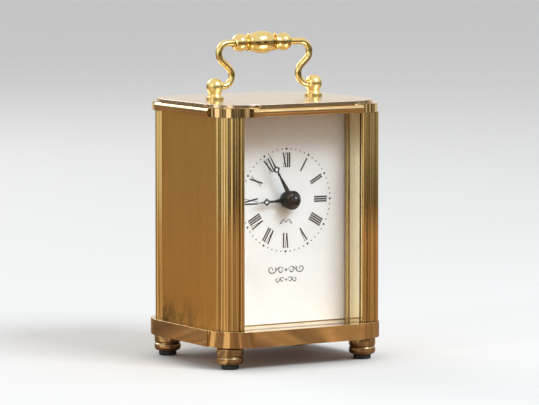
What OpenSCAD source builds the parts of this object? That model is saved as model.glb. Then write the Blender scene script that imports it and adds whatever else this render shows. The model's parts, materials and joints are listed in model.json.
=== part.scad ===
// Quartz carriage clock: brass case on four turned feet, bail handle, glazed front, hinged rear door.
// +X is the clock's right seen from the front, +Y points to the rear, +Z is up.
// The origin is on the table, under the middle of the base plate.

/* [Plates] */
// Width of the base plate
base_w = 84; // [80:1:90]
// Depth of the base plate
base_d = 75; // [72:1:80]
// Thickness of the base plate
base_t = 6.8; // [6:0.1:8]
// Size of the corner cut-in of the base plate, along each side
base_cut = 14.6; // [13:0.1:15]
// Width of the small step where a straight side meets a rounded corner
corner_step = 0.9; // [0.6:0.1:1.2]
// Thickness of the moulded top plate
top_t = 3.7; // [3.4:0.1:4.5]
// How far the moulded top plate stays inside the base outline
top_inset = 0.5; // [0.3:0.1:1]
// Thickness of the cap plate on top
cap_t = 1.5; // [1.2:0.1:2]
// How far the cap plate stays inside the base outline
cap_inset = 1.3; // [1.2:0.1:2]
// Size of the corner cut-in of the cap plate
cap_cut = 17.2; // [16:0.1:18]

/* [Case] */
// Half width of the case over its columns
case_half_w = 38.3; // [37.5:0.1:38.5]
// Distance from the middle to the front face of the front columns
case_front = 33.2; // [32.5:0.1:33.5]
// Distance from the middle to the rear face of the rear columns
case_back = 28.8; // [28.5:0.1:29.5]
// Height of the columns between the plates
case_h = 89.6; // [88:0.1:92]
// Width of every column along the front
column_w = 9.3; // [9.2:0.1:9.5]
// Depth of the front columns
front_column_d = 9.7; // [9.6:0.1:10]
// Depth of the rear columns
rear_column_d = 6.8; // [6.6:0.1:7]
// Thickness of the side panels
panel_t = 1.2; // [1:0.1:1.5]
// How far the side panels lie behind the column reeds
panel_recess = 0.5; // [0.4:0.1:0.8]

/* [Feet] */
// Height of a turned foot, without its pad
foot_h = 7.5; // [7:0.1:8]
// Largest radius of a foot
foot_r = 5.65; // [5.4:0.05:5.8]
// Height of the rubber pad that shows below a foot
pad_h = 2.1; // [1.5:0.1:2.5]
// Radius of the rubber pad
pad_r = 3.75; // [3.4:0.05:4]
// Distance of a foot's centre from the side edge of the base plate
foot_in_x = 9.3; // [9:0.1:10]
// Distance of a foot's centre from the front or rear edge of the base plate
foot_in_y = 10.9; // [10:0.1:11.5]

/* [Handle] */
// Distance of a handle post from the middle
post_x = 24.5; // [24:0.1:25]
// Height of the pivot above the cap plate
pivot_h = 5.6; // [5.4:0.1:6]
// Radius of the post's ball
ball_r = 3.7; // [3.5:0.05:3.8]
// Radius of the handle's bent rod
rod_r = 1.45; // [1.3:0.05:1.5]
// Height of the grip's axis above the pivot
grip_h = 18.3; // [17.8:0.1:18.6]
// Distance of the rod's widest point from the middle
arm_out_x = 22.45; // [22:0.05:22.9]
// Bend radius near the post
low_bend_r = 4.6; // [4.5:0.05:4.7]
// Bend radius near the grip
high_bend_r = 4.4; // [4.3:0.05:4.5]
// Angle by which the handle leans to the rear as it stands
handle_lean = 4; // [0:1:12]
// How far the whole handle has slid to the right in its posts
handle_shift = 0.5; // [-0.5:0.1:0.5]
// How far the grip sits off the handle's middle, towards the right
grip_shift = -1.2; // [-1.5:0.1:1.5]
// Distance of the rods' inner ends from the middle of the grip
rod_end = 14.05; // [13.8:0.05:14.2]

/* [Dial and hands] */
// Height of the dial's centre above the table
dial_z = 69.2; // [68:0.1:70]
// Distance from the front of the case back to the dial face
dial_depth = 15.2; // [15:0.1:16]
// Radius of the ring of minute dots
dot_ring_r = 21.8; // [21:0.1:22]
// Outer radius of the numerals
numeral_out_r = 20.2; // [19.8:0.1:20.4]
// Height of the numerals
numeral_h = 6.2; // [5.8:0.1:6.4]
// How far the print sits to the left of the dial's centre
print_left = 0.5; // [-0.6:0.1:0.6]
// How far the print sits below the dial's centre
print_down = 0.3; // [-0.6:0.1:0.6]
// Angle by which the print is turned clockwise
print_turn = 0.7; // [-1:0.1:1]
// Length of the hour hand
hour_len = 16.8; // [16:0.1:17.5]
// Length of the minute hand
minute_len = 22.5; // [21.5:0.1:22.8]
// Hour hand angle, clockwise from twelve
hour_angle = 267.5; // [0:0.5:359.5]
// Minute hand angle, clockwise from twelve
minute_angle = 330; // [0:6:354]
// Thickness of the glass pane
glass_t = 1.5; // [1.3:0.1:1.6]

/* [Movement] */
// Width and height of the quartz movement
movement_w = 55.5; // [55:0.1:56]
// Depth of the movement without its rear cover
movement_d = 15.6; // [15.4:0.1:16]
// Thickness of the movement's plastic walls
wall = 1.0; // [0.9:0.1:1.1]
// Diameter of the battery
battery_d = 14.2; // [13.5:0.1:14.4]
// Length of the battery without its positive nub
battery_l = 49.2; // [48.5:0.1:49.5]
// Radius of the setting knob
set_knob_r = 4.6; // [4:0.1:5]

/* [Rear door] */
// Thickness of the rear door
door_t = 2.0; // [1.8:0.1:2.2]
// Gap round the rear door
door_gap = 0.4; // [0.4:0.1:0.5]
// Distance of the hinge axis from the door opening's edge
hinge_in = 1.8; // [1.8:0.1:2]
// Radius of the hinge pins
hinge_r = 0.7; // [0.6:0.05:0.75]
// Radius of the pull knob
pull_r = 2.7; // [2.5:0.1:3]

/* [Hidden] */
$fn = 64;
eps = 0.01;
run_gap = 0.04;

foot_total = foot_h + pad_h;
base_top = foot_total + base_t;
case_top = base_top + case_h;
top_top = case_top + top_t;
cap_top = top_top + cap_t;
pivot_z = cap_top + pivot_h;

panel_front = -case_front + front_column_d;
panel_back = case_back - rear_column_d;
panel_out_x = case_half_w - panel_recess;
opening_x = case_half_w - column_w;

slot_front = 1.9;
slot_w = 1.7;
slot_depth = 1.6;
liner_t = 0.8;
liner_front = -case_front + slot_front + slot_w;
dial_y = -case_front + dial_depth;
dial_t = 0.8;
carrier_t = 1.2;
carrier_groove = 1.0;
carrier_x = panel_out_x - panel_t - 0.2;
bush_r = 3.4;
bush_bore_r = 2.56;

// A screw runs through each foot and the base plate into a column, another through the top plate
screw_r = 1.25;
screw_head_r = 2.4;
screw_sink = 1.4;
screw_in = 10;
tapped_depth = 12;
foot_x = base_w / 2 - foot_in_x;
foot_y = base_d / 2 - foot_in_y;
COLUMN_SPOTS = [for (x = [-1, 1], y = [-1, 1]) [x * foot_x, y * foot_y]];
MOVEMENT_SPOTS = [for (x = [-24.5, 24.5], y = [-9.5, 24.5]) [x, y]];
post_screw_r = 1.25;

hinge_x = -(opening_x - hinge_in);
hinge_y = case_back - 1.4;
hinge_engage = 2;
door_y = hinge_y - door_t / 2;
pull_x = opening_x - 4.5;
pull_z = base_top + case_h / 2;

// Gear data: teeth counts and tooth modules of the motion work and the going train
cannon_teeth = 16;
motion_teeth = 48;
motion_pinion_teeth = 12;
hour_teeth = 48;
motion_module = 0.25;
motion_distance = (cannon_teeth + motion_teeth) / 2 * motion_module;
hour_module = 2 * motion_distance / (motion_pinion_teeth + hour_teeth);
pinion_teeth = 6;
centre_teeth = 45;
third_teeth = 48;
fourth_teeth = 36;
fifth_teeth = 30;
train_module = 0.3;
train_angle = 20;
third_distance = (centre_teeth + pinion_teeth) / 2 * train_module;
third_module = 2 * third_distance / (third_teeth + pinion_teeth);
fifth_distance = (fourth_teeth + pinion_teeth) / 2 * train_module;
rotor_distance = (fifth_teeth + pinion_teeth) / 2 * train_module;
pinion_turn = train_angle + 180 / pinion_teeth;
third_at = -third_distance * [cos(train_angle), sin(train_angle)];
fifth_at = fifth_distance * [cos(train_angle), sin(train_angle)];
rotor_at = fifth_at + rotor_distance * [cos(train_angle), sin(train_angle)];
motion_at = [0, motion_distance];
arbor_r = 0.4;
minute_r = 1.2;

// Depths behind (negative) or in front of (positive) the dial face
tray_front = -dial_t - carrier_t;
tray_back = tray_front - movement_d;
cover_back = tray_back - wall;
train_plate_z = -10.1;
train_plate_t = 0.5;
hour_hand_z = 2.2;
minute_hand_z = 4.0;
hand_t = 0.45;
battery_nub = 1.0;
battery_z = tray_front - wall - battery_d / 2 - 0.1;
battery_up = -movement_w / 2 + wall + battery_d / 2 + 0.1;
coil_x = 21.5;
coil_z = -12.8;

// Print on the dial
ROMAN = ["XII", "I", "II", "III", "IIII", "V", "VI", "VII", "VIII", "IX", "X", "XI"];
thick_stroke = 0.66;
thin_stroke = 0.22;
serif_t = 0.2;
hour_dot_r = 0.48;
minute_dot_r = 0.29;
ink_t = 0.05;

brass_colour = "goldenrod";
brushed_colour = "darkgoldenrod";
dark_brass_colour = "saddlebrown";
gold_colour = "gold";
steel_colour = "silver";

// ---- shared shapes ----

// Rectangle whose corners step in and end in a convex quarter round
module notched_outline(w, d, cut) {
    corner_r = cut - corner_step;
    square([w - 2 * cut, d], center = true);
    square([w, d - 2 * cut], center = true);
    for (x = [-1, 1], y = [-1, 1])
        translate([x * (w / 2 - cut), y * (d / 2 - cut)]) circle(r = corner_r);
}

// Puts a child on the dial: x to the right, y up, z towards the viewer from the dial face
module on_dial(z = 0) {
    translate([0, dial_y, dial_z]) rotate([90, 0, 0]) translate([0, 0, z]) children();
}

module disc(r, z0, z1) {
    translate([0, 0, z0]) cylinder(r = r, h = z1 - z0);
}

// One gear wheel, tooth 0 on the x axis turned by the phase angle
module gear(teeth, tooth_module, z0, z1, phase) {
    pitch_r = teeth * tooth_module / 2;
    root_r = pitch_r - 1.15 * tooth_module;
    tip_r = pitch_r + 0.75 * tooth_module;
    root_half = 0.24 * 360 / teeth;
    tip_half = 0.1 * 360 / teeth;
    outline = [for (i = [0 : teeth - 1], k = [[root_r, -root_half], [tip_r, -tip_half],
        [tip_r, tip_half], [root_r, root_half]])
        k[0] * [cos(phase + i * 360 / teeth + k[1]), sin(phase + i * 360 / teeth + k[1])]];
    translate([0, 0, z0]) linear_extrude(z1 - z0) polygon(outline);
}

// Clearance hole for a column screw through a plate of the given thickness
module screw_hole(through) {
    translate([0, 0, -eps]) cylinder(r = screw_r + 0.2, h = through + 2 * eps);
}

// ---- plates ----

module base_plate() {
    color(brass_colour) difference() {
        translate([0, 0, foot_total]) linear_extrude(base_t)
            notched_outline(base_w, base_d, base_cut);
        for (p = COLUMN_SPOTS) translate([p[0], p[1], foot_total]) screw_hole(base_t);
        translate([-carrier_x - 0.1, dial_y + dial_t - 0.05, base_top - carrier_groove])
            cube([2 * carrier_x + 0.2, carrier_t + 0.1, carrier_groove + 1]);
        translate([hinge_x, hinge_y, base_top - hinge_engage])
            cylinder(r = hinge_r + run_gap, h = hinge_engage + 1);
    }
}

// Moulded plate: vertical corners, half-round straight sides
module top_plate() {
    w = base_w - 2 * top_inset;
    d = base_d - 2 * top_inset;
    side_r = top_t / 2;
    color(brass_colour) difference() {
        translate([0, 0, case_top]) union() {
            linear_extrude(top_t) {
                square([w - 2 * base_cut, d - 2 * side_r], center = true);
                square([w - 2 * side_r, d - 2 * base_cut], center = true);
                for (x = [-1, 1], y = [-1, 1])
                    translate([x * (w / 2 - base_cut), y * (d / 2 - base_cut)])
                        circle(r = base_cut - corner_step);
            }
            for (y = [-1, 1]) translate([-(w / 2 - base_cut), y * (d / 2 - side_r), side_r])
                rotate([0, 90, 0]) cylinder(r = side_r, h = w - 2 * base_cut);
            for (x = [-1, 1]) translate([x * (w / 2 - side_r), d / 2 - base_cut, side_r])
                rotate([90, 0, 0]) cylinder(r = side_r, h = d - 2 * base_cut);
        }
        for (p = COLUMN_SPOTS) translate([p[0], p[1], case_top]) {
            screw_hole(top_t);
            translate([0, 0, top_t - screw_sink]) cylinder(r1 = screw_r + 0.1,
                r2 = screw_head_r + 0.1, h = screw_sink + eps);
        }
        for (x = [-1, 1]) translate([x * post_x, 0, case_top - eps])
            cylinder(r = post_screw_r, h = top_t + 2 * eps);
        translate([-carrier_x - 0.1, dial_y + dial_t - 0.05, case_top - 1])
            cube([2 * carrier_x + 0.2, carrier_t + 0.1, carrier_groove + 1]);
        translate([hinge_x, hinge_y, case_top - 1])
            cylinder(r = hinge_r + run_gap, h = hinge_engage + 1);
    }
}

module cap_plate() {
    color(brass_colour) translate([0, 0, top_top]) difference() {
        linear_extrude(cap_t)
            notched_outline(base_w - 2 * cap_inset, base_d - 2 * cap_inset, cap_cut);
        for (x = [-1, 1]) translate([x * post_x, 0, -eps])
            cylinder(r = post_screw_r, h = cap_t + 2 * eps);
    }
}

// ---- columns: the outer corner is at the section's origin ----

// Reeds along one face: a middle reed and an edge reed that ends at the given width
module reed_row(width) {
    edge_r = 1.15;
    translate([4.95, 2.6]) circle(r = 2.6);
    translate([width - edge_r, edge_r]) circle(r = edge_r);
}

module front_column_section() {
    groove = 0.9;
    difference() {
        union() {
            polygon([[3.2, groove], [column_w, groove], [column_w, front_column_d],
                [groove, front_column_d], [groove, 3.2]]);
            translate([2.1, 2.1]) circle(r = 1.45);
            reed_row(column_w);
            mirror([1, -1]) reed_row(front_column_d);
        }
        translate([column_w - slot_depth, slot_front]) square([slot_depth + 1, slot_w]);
        translate([column_w - liner_t, slot_front + slot_w])
            square([liner_t + 1, front_column_d]);
    }
}

module rear_column_section(with_stop) {
    groove = 0.8;
    bead_r = 2.2;
    edge_r = 1.2;
    lip = [2.0, 1.2];
    polygon([[bead_r, groove], [column_w, groove], [column_w, rear_column_d],
        [groove, rear_column_d], [groove, bead_r]]);
    translate([bead_r, bead_r]) circle(r = bead_r);
    translate([edge_r, rear_column_d - edge_r]) circle(r = edge_r);
    translate([5.9, 1.4]) circle(r = 1.4);
    if (with_stop) translate([column_w, 2.6]) square(lip);
}

// side is -1 for left and 1 for right
module column(side, corner_y, turn_y) {
    difference() {
        translate([side * case_half_w, corner_y, base_top])
            scale([-side, turn_y, 1]) linear_extrude(case_h) children();
        for (p = COLUMN_SPOTS, z = [base_top - eps, case_top - tapped_depth])
            translate([p[0], p[1], z]) cylinder(r = screw_r, h = tapped_depth + eps);
    }
}

module column_front_left() {
    color(brass_colour) column(-1, -case_front, 1) front_column_section();
}

module column_front_right() {
    color(brass_colour) column(1, -case_front, 1) front_column_section();
}

module column_rear_left() {
    color(brass_colour) column(-1, case_back, -1) rear_column_section(false);
}

module column_rear_right() {
    color(brass_colour) column(1, case_back, -1) rear_column_section(true);
}

module side_panel(side) {
    x = side > 0 ? panel_out_x - panel_t : -panel_out_x;
    color(brushed_colour) translate([x, panel_front, base_top])
        cube([panel_t, panel_back - panel_front, case_h]);
}

module side_panel_left() { side_panel(-1); }

module side_panel_right() { side_panel(1); }

// Countersunk screws from the top plate into the columns, hidden under the cap plate
module top_screws() {
    color(steel_colour) for (p = COLUMN_SPOTS) translate([p[0], p[1], top_top - screw_sink]) {
        cylinder(r1 = screw_r, r2 = screw_head_r, h = screw_sink);
        translate([0, 0, screw_sink - top_t - screw_in]) cylinder(r = screw_r,
            h = top_t + screw_in);
    }
}

// ---- feet ----

// Two rings with a groove between them and a rounded lower edge
module foot(x, y) {
    groove_z = 3.35;
    groove = 0.5;
    low_r = 4.1;
    round_r = foot_r - low_r;
    color(dark_brass_colour) translate([x, y, pad_h]) difference() {
        rotate_extrude() {
            square([low_r, foot_h]);
            translate([low_r, round_r]) circle(r = round_r);
            polygon([[0, round_r], [foot_r, round_r], [foot_r, groove_z - groove],
                [foot_r - groove, groove_z], [foot_r, groove_z + groove],
                [foot_r, foot_h - 0.9], [foot_r - 0.4, foot_h], [0, foot_h]]);
        }
        translate([0, 0, -eps]) cylinder(r = pad_r, h = 1.2);
        cylinder(r = screw_r + 0.2, h = foot_h + 1);
        cylinder(r = screw_head_r, h = 3);
    }
}

module foot_front_left() { foot(-foot_x, -foot_y); }

module foot_front_right() { foot(foot_x, -foot_y); }

module foot_rear_left() { foot(-foot_x, foot_y); }

module foot_rear_right() { foot(foot_x, foot_y); }

// Rubber disc pressed into the foot's recess
module pad(x, y) {
    color("black") translate([x, y, 0]) rotate_extrude() union() {
        square([pad_r - 0.4, pad_h + 1.1]);
        translate([0, 0.4]) square([pad_r, pad_h + 0.7]);
        translate([pad_r - 0.4, 0.4]) circle(r = 0.4);
    }
}

module pad_front_left() { pad(-foot_x, -foot_y); }

module pad_front_right() { pad(foot_x, -foot_y); }

module pad_rear_left() { pad(-foot_x, foot_y); }

module pad_rear_right() { pad(foot_x, foot_y); }

// Screws through the feet and the base plate into the columns
module foot_screws() {
    head_z = 1.3;
    head_h = 1.7;
    color(steel_colour) for (p = COLUMN_SPOTS) translate([p[0], p[1], pad_h + head_z]) {
        cylinder(r = screw_head_r - 0.1, h = head_h);
        cylinder(r = screw_r, h = foot_h - head_z + base_t + screw_in);
    }
}

// ---- handle ----

// Flanged ball post with a blind pivot hole on its inner side and a threaded stud below
module handle_post(side) {
    flange_r = 3.8;
    flange_t = 1.3;
    neck_r = 2.5;
    fillet = 0.6;
    ball_drop = 1.9;
    stud_in = 3.4;
    taper_z = pivot_h - ball_drop;
    taper_r = sqrt(ball_r * ball_r - ball_drop * ball_drop);
    color(gold_colour) translate([side * post_x, 0, cap_top]) difference() {
        union() {
            rotate_extrude() {
                difference() {
                    translate([0, pivot_h]) circle(r = ball_r);
                    translate([-2 * ball_r, 0]) square([2 * ball_r, 4 * ball_r]);
                }
                polygon([[0, 0], [flange_r, 0], [flange_r, flange_t], [neck_r + fillet, flange_t],
                    [neck_r, flange_t + fillet], [taper_r, taper_z], [0, taper_z]]);
            }
            translate([0, 0, -cap_t - top_t - stud_in])
                cylinder(r = post_screw_r, h = cap_t + top_t + stud_in + 0.1);
        }
        translate([0, 0, pivot_h]) rotate([0, -side * 90, 0])
            cylinder(r = rod_r + run_gap, h = ball_r + 1);
    }
}

module handle_post_left() { handle_post(-1); }

module handle_post_right() { handle_post(1); }

// Hexagon nuts that hold the posts from inside the case
module post_nuts() {
    nut_r = 2.9;
    nut_t = 2.0;
    color(steel_colour) for (x = [-1, 1]) translate([x * post_x, 0, case_top - nut_t])
        difference() {
            cylinder(r = nut_r, h = nut_t, $fn = 6);
            translate([0, 0, -1]) cylinder(r = post_screw_r, h = nut_t + 2);
        }
}

// Bend of the rod: an arc of the given angle from the x axis, in the x-y plane
module bend(bend_r, sweep) {
    rotate_extrude(angle = sweep) translate([bend_r, 0]) circle(r = rod_r);
}

// Arm in the handle's own plane: x outward, y up, pivot height at y = 0; side is -1 left, 1 right
module arm_shape(side) {
    bend_in = 0.3;
    low_c = [post_x - ball_r + bend_in, low_bend_r];
    high_c = [arm_out_x - high_bend_r, grip_h - high_bend_r];
    span = high_c - low_c;
    reach = low_bend_r + high_bend_r;
    run = sqrt(span * span - reach * reach);
    heading = atan2(span[1], span[0]) - atan2(reach, run);
    turn = 180 - heading;
    start = low_c + low_bend_r * [-sin(heading), cos(heading)];
    pin_len = 2.6;
    end_x = rod_end + side * grip_shift;
    translate([low_c[0], 0]) rotate([0, 90, 0]) cylinder(r = rod_r, h = pin_len);
    translate(low_c) rotate([0, 0, 270 - turn]) bend(low_bend_r, turn);
    translate([start[0], start[1], 0]) rotate([0, 0, heading]) rotate([0, 90, 0])
        cylinder(r = rod_r, h = run);
    translate(high_c) rotate([0, 0, 90 - turn]) bend(high_bend_r, turn);
    translate([high_c[0], grip_h]) rotate([0, -90, 0])
        cylinder(r = rod_r, h = high_c[0] - end_x);
}

// Places a child of the handle's plane at the pivot, leaning to the rear
module on_handle() {
    translate([handle_shift, 0, pivot_z]) rotate([90 - handle_lean, 0, 0]) children();
}

module handle_arm_left() {
    color(gold_colour) on_handle() mirror([1, 0, 0]) arm_shape(-1);
}

module handle_arm_right() {
    color(gold_colour) on_handle() arm_shape(1);
}

// Turned grip: end ball, ring, oval middle, ring, end ball
module handle_grip() {
    ball_x = 10.75;
    end_ball_r = 3.85;
    oval_r = 4.85;
    oval_bend = 8.9;
    oval_half = 5.4;
    ring_x = 6.35;
    ring_half = 0.5;
    core_r = 2.7;
    reach = ball_x + end_ball_r;
    color(gold_colour) on_handle() translate([grip_shift, grip_h, 0]) rotate([0, 90, 0])
        difference() {
            rotate_extrude() intersection() {
                translate([0, -reach]) square([oval_r, 2 * reach]);
                union() {
                    for (s = [-1, 1]) {
                        translate([0, s * ball_x]) circle(r = end_ball_r);
                        translate([0, s * ring_x - ring_half])
                            square([end_ball_r - ring_half, 2 * ring_half]);
                        translate([end_ball_r - ring_half, s * ring_x]) circle(r = ring_half);
                    }
                    translate([0, -ball_x]) square([core_r, 2 * ball_x]);
                    intersection() {
                        translate([oval_r - oval_bend, 0]) circle(r = oval_bend);
                        translate([0, -oval_half]) square([oval_r, 2 * oval_half]);
                    }
                }
            }
            for (z = [rod_end, -reach - 1]) translate([0, 0, z])
                cylinder(r = rod_r, h = reach + 1 - rod_end);
        }
}

// ---- front ----

module front_glass() {
    fit = 0.1;
    x = opening_x + slot_depth - fit;
    y = -case_front + slot_front + (slot_w - glass_t) / 2;
    color("lightblue", 0.3) translate([-x, y, base_top + fit])
        cube([2 * x, glass_t, case_h - 2 * fit]);
}

// Polished strip from the glass slot back to the dial
module liner(side) {
    x = side > 0 ? opening_x : -opening_x - liner_t;
    color(gold_colour) translate([x, liner_front, base_top])
        cube([liner_t, dial_y + dial_t - liner_front, case_h]);
}

module liner_left() { liner(-1); }

module liner_right() { liner(1); }

// Low rounded bead on the liner, just in front of the dial
module dial_bead(side) {
    bead_r = 3;
    rise = 0.7;
    color(gold_colour) translate([side * opening_x, dial_y - 1.95, base_top])
        linear_extrude(case_h) intersection() {
            translate([side * (bead_r - rise), 0]) circle(r = bead_r);
            translate([side > 0 ? -bead_r : 0, -bead_r]) square([bead_r, 2 * bead_r]);
        }
}

module dial_bead_left() { dial_bead(-1); }

module dial_bead_right() { dial_bead(1); }

// Brass plate behind the dial, standing in grooves of the base and top plates
module dial_carrier() {
    lift = carrier_groove - 0.1;
    color(brass_colour) difference() {
        translate([-carrier_x, dial_y + dial_t, base_top - lift])
            cube([2 * carrier_x, carrier_t, case_h + 2 * lift]);
        on_dial(-dial_t - carrier_t - 1) cylinder(r = bush_r + run_gap, h = 4);
        for (p = MOVEMENT_SPOTS) on_dial() translate([p[0], p[1], 0]) {
            disc(1, -dial_t - carrier_t - 1, 0);
            disc(1.7, -dial_t - 0.7, 0);
        }
    }
}

module dial_plate() {
    below = 0.25;
    above = 0.1;
    color("white") difference() {
        translate([-opening_x + 0.1, dial_y, base_top + below])
            cube([2 * opening_x - 0.2, dial_t, case_h - below - above]);
        on_dial(-dial_t - 1) cylinder(r = bush_r + run_gap, h = 3);
    }
}

// Strokes of one Roman numeral, built upright and centred on x = 0
function glyph_w(c) = c == "I" ? 0.95 : c == "V" ? 2.0 : 2.1;
function numeral_w(s, n) = n == 0 ? 0 : glyph_w(s[n - 1]) + numeral_w(s, n - 1);

module stroke(x0, x1, width) {
    polygon([[x0 - width / 2, 0], [x0 + width / 2, 0], [x1 + width / 2, numeral_h],
        [x1 - width / 2, numeral_h]]);
}

module serif(x, y, width) {
    translate([x - width / 2, y]) square([width, serif_t]);
}

module glyph(c) {
    w = glyph_w(c);
    if (c == "I") {
        stroke(w / 2, w / 2, thick_stroke);
        serif(w / 2, 0, 0.9);
        serif(w / 2, numeral_h - serif_t, 0.9);
    }
    if (c == "V") {
        stroke(w / 2, 0.4, thick_stroke);
        stroke(w / 2, w - 0.4, thin_stroke);
        serif(0.4, numeral_h - serif_t, 0.9);
        serif(w - 0.4, numeral_h - serif_t, 0.6);
    }
    if (c == "X") {
        stroke(w - 0.4, 0.4, thick_stroke);
        stroke(0.4, w - 0.4, thin_stroke);
        for (y = [0, numeral_h - serif_t]) {
            serif(y == 0 ? w - 0.4 : 0.4, y, 0.9);
            serif(y == 0 ? 0.4 : w - 0.4, y, 0.6);
        }
    }
}

module numeral(s) {
    total = numeral_w(s, len(s));
    for (i = [0 : len(s) - 1]) translate([numeral_w(s, i) - total / 2, 0]) glyph(s[i]);
}

// Puts a child on the dial's face where its print lies, turned clockwise by the angle
module printed(angle) {
    on_dial() translate([-print_left, -print_down, 0]) rotate([0, 0, -print_turn - angle]) children();
}

module dial_numerals() {
    color("black") for (h = [0 : 11]) printed(30 * h)
        translate([0, numeral_out_r - numeral_h, 0]) linear_extrude(ink_t) numeral(ROMAN[h]);
}

module dial_dots() {
    color("black") for (m = [0 : 59]) printed(6 * m) translate([0, dot_ring_r, 0])
        cylinder(r = m % 5 == 0 ? hour_dot_r : minute_dot_r, h = ink_t, $fn = 24);
}

// ---- hands ----

// Flat hand along +y: tapered stem, small bead, open lozenge and a long point
module hand_shape(length, lozenge_y, stem_w) {
    lozenge = [1.65, 1.85];
    opening = [0.85, 1.0];
    neck_y = lozenge_y - lozenge[1] - 0.1;
    difference() {
        union() {
            polygon([[-stem_w / 2, 0], [stem_w / 2, 0], [stem_w / 2, 5.5], [0.3, neck_y - 0.6],
                [0.25, lozenge_y], [-0.25, lozenge_y], [-0.3, neck_y - 0.6], [-stem_w / 2, 5.5]]);
            translate([0, neck_y - 0.5]) circle(r = 0.6, $fn = 24);
            polygon([[0, lozenge_y - lozenge[1]], [lozenge[0], lozenge_y],
                [0, lozenge_y + lozenge[1]], [-lozenge[0], lozenge_y]]);
            polygon([[-0.35, lozenge_y + 1.2], [0.35, lozenge_y + 1.2], [0.08, length],
                [-0.08, length]]);
        }
        polygon([[0, lozenge_y - opening[1]], [opening[0], lozenge_y],
            [0, lozenge_y + opening[1]], [-opening[0], lozenge_y]]);
    }
}

module hour_hand() {
    hub_r = 3.9;
    color("black") on_dial(hour_hand_z) difference() {
        union() {
            rotate([0, 0, -hour_angle]) linear_extrude(hand_t) hand_shape(hour_len, 11.4, 1.7);
            disc(hub_r, 0, 0.8);
        }
        disc(2.5, -1, 2);
    }
}

module minute_hand() {
    hub_r = 4.05;
    color("black") on_dial(minute_hand_z) difference() {
        union() {
            rotate([0, 0, -minute_angle]) linear_extrude(hand_t)
                hand_shape(minute_len, 15.3, 1.8);
            disc(hub_r, 0, 0.7);
        }
        disc(minute_r, -1, 2);
    }
}

// Domed nut on the end of the minute arbor
module hand_cap() {
    dome_r = 2.75;
    color("black") on_dial(minute_hand_z + 0.7) difference() {
        union() {
            cylinder(r1 = 3.3, r2 = dome_r, h = 1.6);
            disc(dome_r, 1.6, 2.4);
            translate([0, 0, 2.4]) intersection() {
                translate([0, 0, -1.6]) sphere(r = sqrt(dome_r * dome_r + 1.6 * 1.6));
                cylinder(r = dome_r, h = 3);
            }
        }
        disc(0.9, -1, 1.9);
    }
}

// ---- movement ----

// Tray that holds the train, open to the rear
module movement_case() {
    inner = movement_w - 2 * wall;
    color("dimgray") on_dial(tray_back) difference() {
        union() {
            difference() {
                translate([-movement_w / 2, -movement_w / 2, 0])
                    cube([movement_w, movement_w, movement_d]);
                translate([-inner / 2, -inner / 2, -1]) cube([inner, inner, movement_d - wall + 1]);
            }
            disc(bush_r, movement_d - 1, movement_d - tray_front);
            for (p = MOVEMENT_SPOTS) translate([p[0], p[1], movement_d - 7])
                cylinder(r = 2.2, h = 6.5);
            for (x = [-16.5, 16.5], y = [-9, 11.5]) translate([x, y, 0])
                disc(1.2, train_plate_z + train_plate_t - tray_back, movement_d - 0.5);
            for (p = [motion_at, third_at]) translate([p[0], p[1], 0])
                disc(1.1, movement_d - wall - 0.2, movement_d - 0.5);
            translate([-inner / 2 - 0.5, battery_up + battery_d / 2 + 0.1, 0])
                cube([inner + 1, 0.6, movement_d - 0.5]);
        }
        disc(bush_bore_r, -1, movement_d + 4);
        for (p = MOVEMENT_SPOTS) translate([p[0], p[1], movement_d - 6.5])
            cylinder(r = 0.9, h = 8);
        for (p = [motion_at, third_at]) translate([p[0], p[1], 0])
            disc(p == motion_at ? 0.6 + run_gap : arbor_r + run_gap, movement_d - 1.4,
                movement_d - 0.5);
    }
}

// Rear cover with the battery window and bearing holes
module movement_cover() {
    color("gray") on_dial(cover_back) difference() {
        translate([-movement_w / 2, -movement_w / 2, 0]) cube([movement_w, movement_w, wall]);
        translate([-25, battery_up - 6.4, -1]) cube([50, 12.8, wall + 2]);
        translate([motion_at[0], motion_at[1], 0]) disc(0.6 + run_gap, -1, 2);
        for (p = [[0, 0], third_at, fifth_at, rotor_at]) translate([p[0], p[1], 0])
            disc(arbor_r + run_gap, 0.4, 2);
    }
}

// Screws from the dial carrier into the movement
module movement_screws() {
    color(steel_colour) on_dial() for (p = MOVEMENT_SPOTS) translate([p[0], p[1], 0]) {
        disc(1.6, -dial_t - 0.7, -dial_t);
        disc(0.9, -dial_t - 6, -dial_t - 0.6);
    }
}

module hour_wheel() {
    color("ivory") on_dial() difference() {
        union() {
            gear(hour_teeth, hour_module, -4.2, -3.4, 0);
            disc(2.5, -4.3, hour_hand_z + 0.9);
        }
        disc(minute_r + 0.06, -5, 6);
    }
}

module minute_arbor() {
    color("tan") on_dial() difference() {
        union() {
            gear(cannon_teeth, motion_module, -6.1, -4.7, 0);
            disc(minute_r, -8, minute_hand_z + 0.7);
            disc(0.9, minute_hand_z, minute_hand_z + 2.5);
        }
        disc(arbor_r + run_gap, -9, -7.1);
    }
}

module motion_wheel() {
    color("ivory") on_dial() translate([motion_at[0], motion_at[1], 0]) {
        gear(motion_teeth, motion_module, -5.9, -4.9, 180 / motion_teeth);
        gear(motion_pinion_teeth, hour_module, -5, -3.3, 180 / motion_pinion_teeth);
        disc(0.6, cover_back - 2.9, -2.8);
    }
}

// Knurled knob that sets the hands
module set_knob() {
    knob_t = 2.7;
    notches = 24;
    color("dimgray") on_dial(cover_back - 3.1) translate([motion_at[0], motion_at[1], 0])
        difference() {
            linear_extrude(knob_t) difference() {
                circle(r = set_knob_r);
                for (i = [0 : notches - 1]) rotate([0, 0, i * 360 / notches])
                    translate([set_knob_r + 0.15, 0]) circle(r = 0.4, $fn = 16);
            }
            disc(0.6, 0.2, 3);
        }
}

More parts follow.
